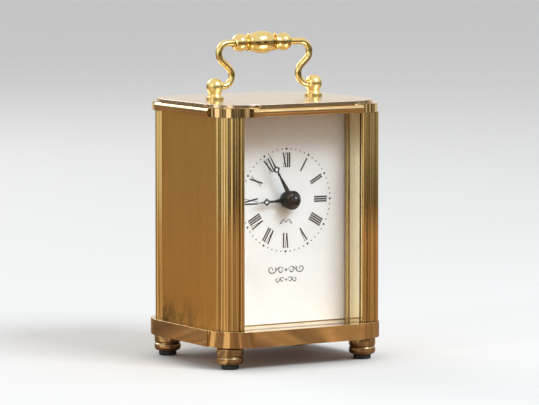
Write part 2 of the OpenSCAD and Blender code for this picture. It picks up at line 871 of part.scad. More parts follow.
// A wheel and its pinion on one steel arbor
module train_wheel(at, teeth, tooth_module, wheel_z, phase, pinion_z, front_z) {
    on_dial() translate([at[0], at[1], 0]) {
        color("ivory") gear(teeth, tooth_module, wheel_z, wheel_z + 0.8, phase);
        color(steel_colour) disc(arbor_r, cover_back + 0.5, front_z);
        color("ivory") gear(pinion_teeth, pinion_z[2], pinion_z[0], pinion_z[1], pinion_turn);
    }
}

module centre_wheel() {
    color("ivory") on_dial() difference() {
        union() {
            gear(centre_teeth, train_module, -7.4, -6.6, 0);
            disc(1.8, -7.7, -6.4);
        }
        disc(minute_r + run_gap, -9, -5);
    }
}

module third_wheel() {
    train_wheel(third_at, third_teeth, third_module, -9.2, train_angle,
        [-9.2, -6.4, train_module], -2.7);
}

module fourth_wheel() {
    train_wheel([0, 0], fourth_teeth, train_module, -11.2, 0, [-11.2, -8.2, third_module], -7.3);
}

module fifth_wheel() {
    train_wheel(fifth_at, fifth_teeth, train_module, -13.2, train_angle,
        [-13.2, -10.3, train_module], train_plate_z + 0.4);
}

module rotor() {
    color("darkslategray") on_dial() translate([rotor_at[0], rotor_at[1], 0]) {
        gear(pinion_teeth, train_module, -13.5, -12.2, pinion_turn);
        disc(2.3, -15.4, -13.5);
        disc(arbor_r, cover_back + 0.5, train_plate_z + 0.4);
    }
}

// Thin plate that carries the front pivots of the fast wheels
module train_plate() {
    color("dimgray") on_dial(train_plate_z) difference() {
        translate([-17.7, -10.5, 0]) cube([35.4, 23.5, train_plate_t]);
        disc(1.4, -1, 2);
        translate([motion_at[0], motion_at[1], 0]) disc(1, -1, 2);
        translate([third_at[0], third_at[1], 0]) disc(1, -1, 2);
        for (p = [fifth_at, rotor_at]) translate([p[0], p[1], 0])
            disc(arbor_r + run_gap, -1, 2);
    }
}

// Flat iron yoke round the rotor, with an arm at each end of the coil
module stator() {
    color(steel_colour) on_dial(-15) linear_extrude(0.8) difference() {
        union() {
            translate([rotor_at[0] - 4.5, -9]) square([9, 27]);
            for (y = [-9, 14]) translate([rotor_at[0], y]) square([coil_x + 2 - rotor_at[0], 4]);
        }
        translate(rotor_at) circle(r = 2.7);
    }
}

module coil() {
    on_dial(coil_z) rotate([-90, 0, 0]) translate([coil_x, 0, 0]) {
        color("peru") disc(3.1, -4.4, 13.4);
        color("ivory") {
            disc(3.4, -5, -4.4);
            disc(3.4, 13.4, 14);
        }
    }
}

module circuit_board() {
    on_dial(-16.7) {
        color("darkgreen") translate([-25.5, 14.5, 0]) cube([29, 8.5, 0.8]);
        color("black") translate([-20, 18.7, 0.8]) cylinder(r = 2.6, h = 0.9);
        color(steel_colour) translate([-14, 18.7, 1.7]) rotate([0, 90, 0])
            cylinder(r = 1, h = 6);
    }
}

module battery() {
    on_dial(battery_z) translate([-battery_l / 2, battery_up, 0]) rotate([0, 90, 0]) {
        color("dimgray") cylinder(r = battery_d / 2, h = battery_l);
        color(steel_colour) cylinder(r = 2.7, h = battery_l + battery_nub);
    }
}

module battery_contacts() {
    reach = movement_w / 2 - wall;
    color(steel_colour) on_dial(battery_z) translate([0, battery_up, 0]) {
        translate([-reach, -4, -3]) cube([0.5, 8, 6]);
        translate([-reach + 0.5, 0, 0]) rotate([0, 90, 0])
            cylinder(r1 = 3, r2 = 1.5, h = reach - 0.5 - battery_l / 2);
        translate([reach - 0.5, -4, -3]) cube([0.5, 8, 6]);
        translate([battery_l / 2 + battery_nub, 0, 0]) rotate([0, 90, 0])
            cylinder(r = 2, h = reach - 0.5 - battery_l / 2 - battery_nub);
    }
}

// ---- rear door ----

module rear_door() {
    x = opening_x - door_gap;
    pin_hole = 8;
    color(brass_colour) difference() {
        translate([-x, door_y, base_top + door_gap])
            cube([2 * x, door_t, case_h - 2 * door_gap]);
        for (z = [base_top, case_top - pin_hole]) translate([hinge_x, hinge_y, z])
            cylinder(r = hinge_r, h = pin_hole);
        translate([pull_x, door_y - 1, pull_z]) rotate([-90, 0, 0])
            cylinder(r = 1, h = door_t + 2);
    }
}

module door_pins() {
    in_door = 7.3;
    end_gap = 0.3;
    color(steel_colour) for (z = [base_top - hinge_engage + end_gap, case_top - in_door])
        translate([hinge_x, hinge_y, z]) cylinder(r = hinge_r, h = hinge_engage + in_door - end_gap);
}

// Turned pull knob, riveted through the door
module door_knob() {
    color(gold_colour) translate([pull_x, door_y + door_t, pull_z]) rotate([-90, 0, 0]) {
        rotate_extrude() {
            square([2.2, 0.6]);
            square([1.1, 3.2]);
            translate([0, 2.6]) square([pull_r - 0.8, 2]);
            translate([pull_r - 1, 3.6]) circle(r = 1);
        }
        translate([0, 0, -door_t - 0.5]) cylinder(r = 1, h = door_t + 1);
    }
}

// ---- the assembly ----

base_plate();
top_plate();
cap_plate();
column_front_left();
column_front_right();
column_rear_left();
column_rear_right();
side_panel_left();
side_panel_right();
top_screws();
foot_front_left();
foot_front_right();
foot_rear_left();
foot_rear_right();
pad_front_left();
pad_front_right();
pad_rear_left();
pad_rear_right();
foot_screws();
handle_post_left();
handle_post_right();
post_nuts();
handle_arm_left();
handle_arm_right();
handle_grip();
front_glass();
liner_left();
liner_right();
dial_bead_left();
dial_bead_right();
dial_carrier();
dial_plate();
dial_numerals();
dial_dots();
movement_case();
movement_cover();
movement_screws();
hour_wheel();
hour_hand();
minute_arbor();
minute_hand();
hand_cap();
motion_wheel();
set_knob();
centre_wheel();
third_wheel();
fourth_wheel();
fifth_wheel();
rotor();
train_plate();
stator();
coil();
circuit_board();
battery();
battery_contacts();
rear_door();
door_pins();
door_knob();
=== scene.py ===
"""Looks of the brass carriage clock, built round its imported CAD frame. All lengths are in metres."""
import json
import math

import bmesh
import bpy
from mathutils import Matrix, Vector


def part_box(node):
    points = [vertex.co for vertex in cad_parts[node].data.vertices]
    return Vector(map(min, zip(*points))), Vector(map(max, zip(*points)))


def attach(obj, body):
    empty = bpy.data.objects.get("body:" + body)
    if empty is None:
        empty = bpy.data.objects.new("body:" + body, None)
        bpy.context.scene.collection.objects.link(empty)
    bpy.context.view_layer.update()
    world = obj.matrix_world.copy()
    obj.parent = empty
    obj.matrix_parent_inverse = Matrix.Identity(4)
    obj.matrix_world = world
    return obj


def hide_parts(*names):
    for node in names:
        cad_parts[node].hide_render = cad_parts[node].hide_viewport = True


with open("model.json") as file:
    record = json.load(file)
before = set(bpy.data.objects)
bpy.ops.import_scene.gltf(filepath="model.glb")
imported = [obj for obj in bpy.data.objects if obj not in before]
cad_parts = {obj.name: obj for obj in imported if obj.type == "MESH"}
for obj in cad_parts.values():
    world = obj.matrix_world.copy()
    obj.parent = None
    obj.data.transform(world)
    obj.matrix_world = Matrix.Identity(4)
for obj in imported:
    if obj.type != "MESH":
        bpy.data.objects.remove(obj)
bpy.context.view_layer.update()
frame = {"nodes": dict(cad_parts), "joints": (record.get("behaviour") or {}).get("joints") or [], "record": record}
MM = 0.001

# ---- camera, floor and light ----

CAMERA_PLACE = (-0.83501, -1.39495, 0.21949)
CAMERA_PITCH = -5.38
CAMERA_HEADING = -30.98
CAMERA_LENS = 254.9
LAMPS_AIM_AT = Vector((0, 0, 0.07))

# What the camera and soft light see all round, and the floor's paper
STUDIO_PALE = (0.62, 0.63, 0.64)
FLOOR_PALE = (0.84, 0.83, 0.82)
FLOOR_RADIUS = 6.0

# What shines sees a room of upright streaks, as (place on the noise's ramp, tone), and a ceiling
ROOM_TONES = ((0.36, (0.02, 0.017, 0.012)), (0.44, (0.20, 0.17, 0.12)), (0.48, (0.85, 0.80, 0.68)),
              (0.52, (0.05, 0.04, 0.03)), (0.56, (0.30, 0.26, 0.20)), (0.60, (0.95, 0.92, 0.84)),
              (0.66, (0.10, 0.085, 0.06)))
CEILING_TONE = (0.95, 0.94, 0.92)
CEILING_RISE = (0.05, 0.40)

# The room is dark below the table's edge and in a band above it, and the band is as strong as BAND_SHARE
SHADE_TONE = (0.03, 0.025, 0.015)
SHADE_FALL = (-0.096, -0.078)
SHADE_SHARE = 0.7
BAND_TONE = (0.04, 0.032, 0.022)
BAND_RISE = (-0.03, 0.05)
BAND_FALL = (0.12, 0.24)
BAND_SHARE = 0.75

# Bright windows, as (direction, cosine where the glow starts, cosine where it is full), and their glare
WINDOWS = (((-0.87, -0.50, 0.0), 0.990, 0.997), ((-0.97, 0.26, 0.0), 0.985, 0.995))
WINDOW_TONE = (1.4, 1.3, 1.1)
TABLE_GLARE = (0.80, 0.58, 0.36)

# A pale wall behind the clock, with the cosines between which it comes in
WALL_TONE = (0.80, 0.78, 0.75)
BEHIND = (0.51, 0.86, 0.0)
WALL_SPREAD = (0.62, 0.92)

# The brown table that what shines sees, and the distances between which it ends
TABLE_TONES = ((0.36, (0.07, 0.034, 0.016)), (0.46, (0.24, 0.135, 0.068)), (0.52, (0.20, 0.11, 0.055)),
               (0.57, (0.55, 0.35, 0.19)), (0.62, (0.12, 0.06, 0.03)), (0.70, (0.34, 0.20, 0.10)))
TABLE_EDGE = (0.50, 0.85)


def add_object(name, data):
    piece = bpy.data.objects.new(name, data)
    bpy.context.scene.collection.objects.link(piece)
    return piece


def make_camera():
    camera = add_object("camera", bpy.data.cameras.new("camera"))
    camera.data.sensor_width = 36
    camera.data.lens = CAMERA_LENS
    camera.data.clip_start = 0.05
    camera.location = CAMERA_PLACE
    camera.rotation_euler = (math.radians(90 + CAMERA_PITCH), 0, math.radians(CAMERA_HEADING))
    bpy.context.scene.camera = camera


class Nodes:
    """A node tree: short calls that add nodes, and link or set their inputs."""

    def __init__(self, tree):
        self.tree = tree

    def add(self, kind, inputs=None, **settings):
        node = self.tree.nodes.new(kind)
        for key, value in settings.items():
            setattr(node, key, value)
        for key, value in (inputs or {}).items():
            self.feed(node.inputs[key], value)
        return node

    def feed(self, socket, value):
        if isinstance(value, bpy.types.NodeSocket):
            self.tree.links.new(value, socket)
        else:
            socket.default_value = value

    def spread(self, value, low, high, to_low=0.0, to_high=1.0):
        """Value from low to high, turned smoothly into to_low to to_high."""
        inputs = {"Value": value, "From Min": low, "From Max": high, "To Min": to_low,
                  "To Max": to_high}
        return self.add("ShaderNodeMapRange", inputs, interpolation_type="SMOOTHSTEP").outputs[0]

    def math(self, operation, a, b=0.0):
        node = self.add("ShaderNodeMath", operation=operation)
        self.feed(node.inputs[0], a)
        self.feed(node.inputs[1], b)
        return node.outputs[0]

    def mix(self, share, a, b):
        node = self.add("ShaderNodeMix", data_type="RGBA")
        self.feed(node.inputs["Factor"], share)
        for socket, value in ((node.inputs[6], a), (node.inputs[7], b)):
            self.feed(socket, (*value, 1) if isinstance(value, tuple) else value)
        return node.outputs[2]

    def ramp(self, value, tones):
        """Value turned into a tone by stops, each of them (value, tone)."""
        node = self.add("ShaderNodeValToRGB", {0: value})
        stops = node.color_ramp.elements
        while len(stops) < len(tones):
            stops.new(0.5)
        for stop, (position, tone) in zip(stops, tones):
            stop.position = position
            stop.color = (*tone, 1)
        return node.outputs[0]

    def unit(self, vector):
        return self.add("ShaderNodeVectorMath", {0: vector}, operation="NORMALIZE").outputs[0]

    def cosine(self, direction, way):
        node = self.add("ShaderNodeVectorMath", {0: direction, 1: way}, operation="DOT_PRODUCT")
        return node.outputs["Value"]

    def windows(self, direction, wall, glow):
        """The glow where the direction meets a window, and the wall elsewhere."""
        for way, low, high in WINDOWS:
            wall = self.mix(self.spread(self.cosine(direction, way), low, high), wall, glow)
        return wall


class Paint(Nodes):
    """One node material, with its noises and bumps placed in metres."""

    def __init__(self, name):
        self.material = bpy.data.materials.new(name)
        self.material.use_nodes = True
        super().__init__(self.material.node_tree)
        self.shader = self.tree.nodes["Principled BSDF"]
        self.place = self.add("ShaderNodeTexCoord").outputs["Object"]

    def set(self, **values):
        """Sets the shader's own sockets; an underscore in a name stands for a space."""
        for key, value in values.items():
            if isinstance(value, tuple) and len(value) == 3:
                value = (*value, 1)
            self.feed(self.shader.inputs[key.replace("_", " ")], value)

    def noise(self, scale, detail=3.0, roughness=0.55, distortion=0.0):
        """Noise with the given number of features per metre along x, y and z."""
        scaled = self.add("ShaderNodeMapping", {"Vector": self.place, "Scale": scale})
        inputs = {"Vector": scaled.outputs[0], "Scale": 1.0, "Detail": detail,
                  "Roughness": roughness, "Distortion": distortion}
        return self.add("ShaderNodeTexNoise", inputs).outputs["Fac"]

    def bump(self, height, strength, distance, under=None):
        inputs = {"Height": height, "Strength": strength, "Distance": distance}
        if under is not None:
            inputs["Normal"] = under
        return self.add("ShaderNodeBump", inputs).outputs[0]

    def axis(self, name):
        """The place along X, Y or Z, in metres."""
        return self.add("ShaderNodeSeparateXYZ", {"Vector": self.place}).outputs[name]


def make_floor():
    """Pale paper; what shines sees a brown table top there, and the room beyond the table's edge."""
    mesh = bpy.data.meshes.new("floor")
    form = bmesh.new()
    bmesh.ops.create_circle(form, cap_ends=True, segments=96, radius=FLOOR_RADIUS)
    form.to_mesh(mesh)
    form.free()
    floor = add_object("floor", mesh)
    paint = Paint("floor_paper")
    glossy = paint.add("ShaderNodeLightPath").outputs["Is Glossy Ray"]
    level = paint.unit(paint.place)
    rays = paint.add("ShaderNodeTexNoise", {"Vector": level, "Scale": 2.7, "Detail": 3.0})
    wood = paint.windows(level, paint.ramp(rays.outputs["Fac"], TABLE_TONES), TABLE_GLARE)
    grain = paint.noise((900, 900, 900), 2)
    paint.set(Base_Color=paint.mix(glossy, FLOOR_PALE, wood), Roughness=0.75)
    paint.set(Specular_IOR_Level=0.2, Normal=paint.bump(grain, 0.1, 0.0001))
    reach = paint.add("ShaderNodeVectorMath", {0: paint.place}, operation="LENGTH")
    beyond = paint.spread(reach.outputs["Value"], *TABLE_EDGE)
    ends = paint.add("ShaderNodeMixShader")
    paint.feed(ends.inputs[0], paint.math("MULTIPLY", glossy, beyond))
    paint.feed(ends.inputs[1], paint.shader.outputs[0])
    paint.feed(ends.inputs[2], paint.add("ShaderNodeBsdfTransparent").outputs[0])
    paint.feed(paint.tree.nodes["Material Output"].inputs["Surface"], ends.outputs[0])
    mesh.materials.append(paint.material)


def make_light(name, size, place, power, tint=(1, 1, 1)):
    light = bpy.data.lights.new(name, "AREA")
    light.shape = "RECTANGLE"
    light.size, light.size_y = size
    light.energy = power
    light.color = tint
    lamp = add_object(name, light)
    lamp.location = place
    lamp.rotation_euler = (LAMPS_AIM_AT - Vector(place)).to_track_quat("-Z", "Y").to_euler()
    return lamp


def make_world():
    """Pale and even for the camera and for soft light; what shines sees a room with upright streaks."""
    world = bpy.data.worlds.new("studio")
    world.use_nodes = True
    world.cycles.sampling_method = "NONE"
    room = Nodes(world.node_tree)
    direction = room.add("ShaderNodeTexCoord").outputs["Generated"]
    height = room.add("ShaderNodeSeparateXYZ", {0: direction}).outputs["Z"]
    flat = room.add("ShaderNodeVectorMath", {0: direction, 1: (1, 1, 0.10)}, operation="MULTIPLY")
    level = room.unit(flat.outputs[0])
    streaks = room.add("ShaderNodeTexNoise", {"Vector": level, "Scale": 1.9, "Detail": 2.5,
                                              "Roughness": 0.6})
    tone = room.ramp(streaks.outputs["Fac"], ROOM_TONES)
    tone = room.mix(room.spread(height, *SHADE_FALL, SHADE_SHARE, 0), tone, SHADE_TONE)
    band = room.math("MULTIPLY", room.spread(height, *BAND_RISE),
                     room.spread(height, *BAND_FALL, BAND_SHARE, 0))
    tone = room.windows(level, room.mix(band, tone, BAND_TONE), WINDOW_TONE)
    tone = room.mix(room.spread(room.cosine(direction, BEHIND), *WALL_SPREAD), tone, WALL_TONE)
    tone = room.mix(room.spread(height, *CEILING_RISE), tone, CEILING_TONE)
    glossy = room.add("ShaderNodeLightPath").outputs["Is Glossy Ray"]
    room.feed(room.tree.nodes["Background"].inputs["Color"], room.mix(glossy, STUDIO_PALE, tone))
    bpy.context.scene.world = world


def make_studio():
    make_floor()
    make_world()
    make_light("key_light", (0.62, 0.46), (0.35, -0.95, 1.05), power=12, tint=(0.86, 0.94, 1.0))
    bounce = make_light("table_bounce", (0.6, 0.3), (0.15, -1.0, 0.12), power=1.2, tint=(1.0, 0.61, 0.36))
    bounce.visible_glossy = False
    make_light("left_strip", (0.10, 0.6), (-1.15, -0.35, 0.55), power=1.5, tint=(1.0, 0.97, 0.92))
    make_light("back_light", (0.9, 0.5), (-0.3, 1.3, 0.9), power=6)
    bpy.context.scene.view_settings.view_transform = "Standard"


# ---- materials, one function for each kind of surface ----


def brass(name, tone, dark, grain, wear=0.25, roughness=(0.10, 0.22), line=0.25, relief=0.02 * MM,
          wobble=0.03 * MM, painted_groove_shade=0.0):
    """Lacquered brass: grain gives the polishing lines' count per metre along each axis.

    The last argument is how much painted shade, from ambient occlusion, darkens the bottoms of narrow grooves."""
    paint = Paint(name)
    lines = paint.noise(grain, 4, 0.6)
    clouds = paint.noise((38, 38, 30), 5, 0.62, 0.6)
    specks = paint.spread(paint.noise((1100, 1100, 900), 2, 0.5), 0.66, 0.74)
    cloudy = paint.spread(clouds, 0.42, 0.70, 0, wear)
    aged = paint.mix(cloudy, tone, dark)
    lined = paint.mix(paint.spread(lines, 0.35, 0.68, 0, line), aged, dark)
    colour = paint.mix(paint.math("MULTIPLY", specks, 0.35 * wear), lined, (0.10, 0.06, 0.03))
    # Painted shade: ambient occlusion darkens the bottoms of narrow grooves
    if painted_groove_shade:
        cavity = paint.add("ShaderNodeAmbientOcclusion", {"Distance": 0.9 * MM}, samples=8)
        painted_shade = paint.spread(cavity.outputs["AO"], 0.45, 0.95, painted_groove_shade, 0)
        colour = paint.mix(painted_shade, colour, (0.07, 0.04, 0.015))
    rough = paint.math("ADD", paint.spread(lines, 0.3, 0.7, *roughness),
                       paint.math("MULTIPLY", cloudy, 0.25))
    paint.set(Base_Color=colour, Metallic=1.0, Roughness=rough)
    fine = paint.bump(lines, 0.5, relief)
    paint.set(Normal=paint.bump(paint.noise((90, 90, 60), 2), 0.3, wobble, fine))
    return paint


def side_panel_brass():
    """Sheet brass brushed upright, with old tarnish that gathers above the base plate."""
    low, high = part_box("side_panel_left")
    paint = Paint("side_panel_brass")
    lines = paint.noise((3800, 3800, 25), 5, 0.62)
    broad = paint.noise((520, 520, 9), 3, 0.6)
    clouds = paint.noise((55, 55, 22), 5, 0.65, 0.8)
    height = paint.spread(paint.axis("Z"), low.z, low.z + 15 * MM, 1, 0)
    rearward = paint.spread(paint.axis("Y"), low.y, high.y, 0.25, 1.0)
    blots = paint.noise((150, 150, 70), 5, 0.65, 0.8)
    stain = paint.math("MULTIPLY", height, paint.spread(blots, 0.40, 0.62))
    stain = paint.math("MULTIPLY", stain, rearward)
    tone = paint.mix(paint.spread(broad, 0.3, 0.72), (0.86, 0.50, 0.145), (0.90, 0.535, 0.165))
    tone = paint.mix(paint.spread(lines, 0.32, 0.7, 0, 0.4), tone, (0.64, 0.36, 0.105))
    tone = paint.mix(paint.spread(clouds, 0.45, 0.75, 0, 0.25), tone, (0.68, 0.38, 0.11))
    tone = paint.mix(paint.math("MULTIPLY", stain, 0.85), tone, (0.10, 0.085, 0.04))
    rough = paint.math("ADD", paint.spread(lines, 0.3, 0.7, 0.30, 0.44),
                       paint.math("MULTIPLY", stain, 0.15))
    paint.set(Base_Color=tone, Metallic=1.0, Roughness=rough, Anisotropic=0.6)
    paint.set(Normal=paint.bump(lines, 0.6, 0.03 * MM))
    return paint


def antique_brass():
    """Darkened turned brass: fine lathe rings, painted shade that goes black in the low places and close to other
    parts, and worn on the rounds.
    """
    paint = Paint("antique_brass")
    rings = paint.noise((30, 30, 5200), 3, 0.6)
    clouds = paint.noise((260, 260, 200), 4, 0.6, 0.5)
    tone = paint.mix(paint.spread(clouds, 0.35, 0.68), (0.62, 0.46, 0.26), (0.30, 0.20, 0.10))
    tone = paint.mix(paint.spread(rings, 0.35, 0.7, 0, 0.5), tone, (0.78, 0.60, 0.36))
    # Painted shade: ambient occlusion blackens the grooves and the places close to other parts
    cavity = paint.add("ShaderNodeAmbientOcclusion", {"Distance": 1.6 * MM}, samples=8)
    painted_shade = paint.spread(cavity.outputs["AO"], 0.40, 0.92, 0.95, 0)
    tone = paint.mix(painted_shade, tone, (0.022, 0.014, 0.008))
    rough = paint.spread(clouds, 0.3, 0.7, 0.13, 0.28)
    paint.set(Base_Color=tone, Metallic=1.0, Roughness=rough)
    paint.set(Normal=paint.bump(rings, 0.5, 0.015 * MM))
    return paint


def enamel():
    """White dial: soft gloss lacquer with the faintest mottling."""
    paint = Paint("dial_enamel")
    clouds = paint.noise((45, 45, 45), 4, 0.6)
    grain = paint.noise((2600, 2600, 2600), 2)
    tone = paint.mix(paint.spread(clouds, 0.3, 0.7), (0.80, 0.82, 0.84), (0.765, 0.78, 0.795))
    paint.set(Base_Color=tone, Roughness=paint.spread(grain, 0.3, 0.7, 0.30, 0.42))
    paint.set(Coat_Weight=0.3, Coat_Roughness=0.12)
    paint.set(Normal=paint.bump(grain, 0.15, 0.01 * MM))
    return paint


def dark_coat(name, tone, roughness, grain=(2400, 2400, 2400), relief=0.02 * MM,
              worn=(0.05, 0.045, 0.04)):
    """Black paint, ink, rubber or moulded plastic: only the gloss and the grain differ."""
    paint = Paint(name)
    fine = paint.noise(grain, 3, 0.6)
    clouds = paint.noise((240, 240, 240), 4, 0.6)
    colour = paint.mix(paint.spread(clouds, 0.45, 0.75, 0, 0.6), tone, worn)
    rough = paint.spread(fine, 0.3, 0.7, *roughness)
    paint.set(Base_Color=colour, Roughness=rough)
    paint.set(Normal=paint.bump(fine, 0.5, relief))
    return paint


def plastic(name, tone, shade, roughness=(0.38, 0.55)):
    """Pale moulded nylon or a printed jacket, with faint flow marks."""
    paint = Paint(name)
    flow = paint.noise((180, 180, 60), 4, 0.6, 0.8)
    fine = paint.noise((5200, 5200, 5200), 2)
    paint.set(Base_Color=paint.mix(paint.spread(flow, 0.35, 0.7), tone, shade))
    paint.set(Roughness=paint.spread(fine, 0.3, 0.7, *roughness))
    paint.set(Normal=paint.bump(fine, 0.4, 0.01 * MM))
    return paint


def plated_steel(name, tone, roughness=(0.24, 0.4)):
    paint = Paint(name)
    fine = paint.noise((2200, 2200, 2200), 3)
    clouds = paint.noise((160, 160, 160), 4, 0.6, 0.5)
    shade = tuple(0.72 * c for c in tone)
    paint.set(Base_Color=paint.mix(paint.spread(clouds, 0.35, 0.7), tone, shade), Metallic=1.0)
    paint.set(Roughness=paint.spread(fine, 0.3, 0.7, *roughness))
    paint.set(Normal=paint.bump(fine, 0.4, 0.01 * MM))
    return paint


def pane_glass():
    """Clear plate glass with the lightest film of dust and wiping marks."""
    paint = Paint("pane_glass")
    paint.set(Base_Color=(0.985, 0.995, 0.99), Transmission_Weight=1.0, IOR=1.5)
    film = paint.noise((140, 140, 60), 4, 0.6, 1.0)
    paint.set(Roughness=paint.spread(film, 0.45, 0.8, 0.0, 0.03))
    return paint


def wound_copper():
    """Enamelled wire in close turns along the coil's upright axis, with painted shade in the gaps between the
    turns.
    """
    paint = Paint("coil_copper")
    turns = paint.add("ShaderNodeTexWave", {"Vector": paint.place, "Scale": 1900.0,
                      "Distortion": 0.6, "Detail": 1.0}, bands_direction="Z")
    height = turns.outputs["Fac"]
    clouds = paint.noise((300, 300, 300), 3)
    tone = paint.mix(paint.spread(clouds, 0.3, 0.7), (0.62, 0.22, 0.07), (0.42, 0.13, 0.04))
    # Painted shade: the gaps between the turns are darkened by the same bands that sink the bump
    tone = paint.mix(paint.math("MULTIPLY", height, 0.5), (0.16, 0.05, 0.02), tone)
    paint.set(Base_Color=tone, Metallic=0.8, Roughness=paint.spread(height, 0, 1, 0.5, 0.28))
    paint.set(Normal=paint.bump(height, 0.8, 0.05 * MM))
    return paint


def circuit():
    """Green solder mask over copper tracks."""
    paint = Paint("circuit_green")
    tracks = paint.add("ShaderNodeTexBrick", {"Vector": paint.place, "Scale": 260.0,
                       "Mortar Size": 0.03, "Color1": (0.012, 0.14, 0.05, 1),
                       "Color2": (0.016, 0.17, 0.065, 1), "Mortar": (0.03, 0.26, 0.10, 1)})
    grain = paint.noise((1500, 1500, 1500), 3)
    paint.set(Base_Color=paint.mix(0.25, tracks.outputs["Color"], (0.01, 0.10, 0.04)))
    paint.set(Roughness=paint.spread(grain, 0.3, 0.7, 0.28, 0.42))
    paint.set(Normal=paint.bump(tracks.outputs["Fac"], 0.4, 0.03 * MM))
    return paint


UPRIGHT = (1500, 1500, 18)
LEVEL = (60, 60, 1600)
EVEN = (420, 420, 420)
MATERIALS = {
    "polished_brass": brass("base_brass", (0.80, 0.57, 0.29), (0.52, 0.33, 0.14), LEVEL, wear=0.3,
                            roughness=(0.05, 0.12), line=0.15, relief=0.006 * MM, wobble=0.05 * MM),
    "cap_brass": brass("cap_brass", (0.82, 0.69, 0.52), (0.68, 0.53, 0.36), (160, 900, 900), wear=0.3,
                       roughness=(0.16, 0.24), line=0.20, relief=0.003 * MM, wobble=0.01 * MM),
    # The columns' reed grooves get painted shade from ambient occlusion
    "column_brass": brass("column_brass", (0.90, 0.66, 0.30), (0.58, 0.38, 0.14), UPRIGHT, wear=0.2,
                          roughness=(0.02, 0.07), line=0.35, relief=0.004 * MM, painted_groove_shade=0.55),
    "brushed_brass": side_panel_brass(),
    "mirror_brass": brass("mirror_brass", (0.99, 0.87, 0.59), (0.70, 0.52, 0.25), UPRIGHT, wear=0.15,
                          roughness=(0.03, 0.07), line=0.12, relief=0.004 * MM),
    "bead_brass": brass("bead_brass", (0.64, 0.46, 0.19), (0.36, 0.23, 0.08), UPRIGHT, wear=0.3,
                        roughness=(0.05, 0.12), line=0.4, relief=0.004 * MM),
    "antique_brass": antique_brass(),
    "foot_rubber": dark_coat("foot_rubber", (0.016, 0.017, 0.019), (0.6, 0.8), relief=0.06 * MM),
    "steel": plated_steel("plated_steel", (0.56, 0.56, 0.54)),
    "handle_brass": brass("handle_brass", (0.87, 0.665, 0.275), (0.60, 0.40, 0.12), EVEN, wear=0.2,
                          roughness=(0.05, 0.12), line=0.12, relief=0.002 * MM, wobble=0.012 * MM),
    "post_brass": brass("post_brass", (0.87, 0.665, 0.275), (0.60, 0.40, 0.12), EVEN, wear=0.2,
                        roughness=(0.20, 0.30), line=0.12, relief=0.002 * MM, wobble=0.012 * MM),
    "clear_glass": pane_glass(),
    "carrier_brass": brass("carrier_brass", (0.62, 0.45, 0.21), (0.38, 0.25, 0.10), UPRIGHT, wear=0.5,
                           roughness=(0.25, 0.4), line=0.4),
    "dial_enamel": enamel(),
    "dial_ink": dark_coat("dial_ink", (0.012, 0.011, 0.011), (0.35, 0.55)),
    "movement_plastic": dark_coat("movement_plastic", (0.045, 0.045, 0.05), (0.42, 0.6),
                                  grain=(1500, 1500, 1500), relief=0.05 * MM),
    "hand_black": dark_coat("hand_black", (0.012, 0.012, 0.014), (0.28, 0.45)),
    "hand_cap_black": dark_coat("hand_cap_black", (0.008, 0.008, 0.011), (0.08, 0.2),
                                relief=0.006 * MM),
    "turned_brass": brass("turned_brass", (0.78, 0.58, 0.28), (0.5, 0.33, 0.12), EVEN),
    "gear_nylon": plastic("gear_nylon", (0.80, 0.79, 0.74), (0.70, 0.68, 0.62)),
    "magnet": plated_steel("magnet", (0.20, 0.19, 0.18)),
    "knob_plastic": dark_coat("knob_plastic", (0.11, 0.11, 0.115), (0.35, 0.5),
                              worn=(0.16, 0.16, 0.16)),
    "coil_copper": wound_copper(),
    "cover_mark": dark_coat("cover_mark", (0.30, 0.30, 0.31), (0.4, 0.55), worn=(0.22, 0.22, 0.22)),
    "circuit_green": circuit(),
    "battery_jacket": plastic("battery_jacket", (0.05, 0.075, 0.10), (0.03, 0.05, 0.075),
                              roughness=(0.2, 0.32)),
    "nickel": plated_steel("nickel", (0.75, 0.72, 0.66), roughness=(0.14, 0.26)),
    "door_brass": brass("door_brass", (0.68, 0.49, 0.23), (0.46, 0.29, 0.11), (2600, 2600, 22),
                        wear=0.4, roughness=(0.22, 0.36), line=0.4),
}

# ---- sizes that repeat the CAD's own ----

POST_X = 24.5 * MM
BALL_R = 3.7 * MM
ROD_R = 1.45 * MM
STUD_R = 1.25 * MM
POST_FOOT_R = 3.8 * MM
POST_FOOT_H = 1.3 * MM
POST_WAIST_R = 2.55 * MM
LOW_BEND_R = 4.6 * MM
HIGH_BEND_R = 4.4 * MM
BEND_IN = 0.3 * MM
PIN_LENGTH = 2.6 * MM
ARM_OUT_X = 22.45 * MM
GRIP_H = 18.3 * MM
GRIP_SHIFT = -1.2 * MM
HANDLE_SHIFT = 0.5 * MM
HANDLE_LEAN = 4
ROD_END = 14.05 * MM
END_BALL_X = 10.75 * MM
END_BALL_R = 3.85 * MM
OVAL_R = 4.85 * MM
RING_R = 3.85 * MM
RING_X = 6.35 * MM

# ---- building pieces ----

SLOT_OF = {part["node"]: part["material_slot"] for part in frame["record"]["subparts"]}
BODY_OF = {node: body for body, nodes in frame["record"]["behaviour"]["bodies"].items()
           for node in nodes}


def stand_in(piece, node, *more_nodes):
    """The piece rides with the CAD node, takes its finish and is shown in its place."""
    if not piece.data.materials:
        piece.data.materials.append(MATERIALS[SLOT_OF[node]].material)
    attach(piece, BODY_OF[node])
    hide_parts(node, *more_nodes)
    return piece


def mesh_piece(name, form, sharp=40, weighted=False):
    """An object from a bmesh, smooth except at sharp edges; weighted keeps its large faces flat."""
    mesh = bpy.data.meshes.new(name)
    bmesh.ops.recalc_face_normals(form, faces=form.faces)
    form.to_mesh(mesh)
    form.free()
    for attribute in [a for a in mesh.attributes if a.name == "custom_normal"]:
        mesh.attributes.remove(attribute)
    mesh.shade_smooth()
    mesh.set_sharp_from_angle(angle=math.radians(sharp))
    piece = add_object(name, mesh)
    if weighted:
        piece.modifiers.new("weighted", "WEIGHTED_NORMAL").keep_sharp = True
    return piece


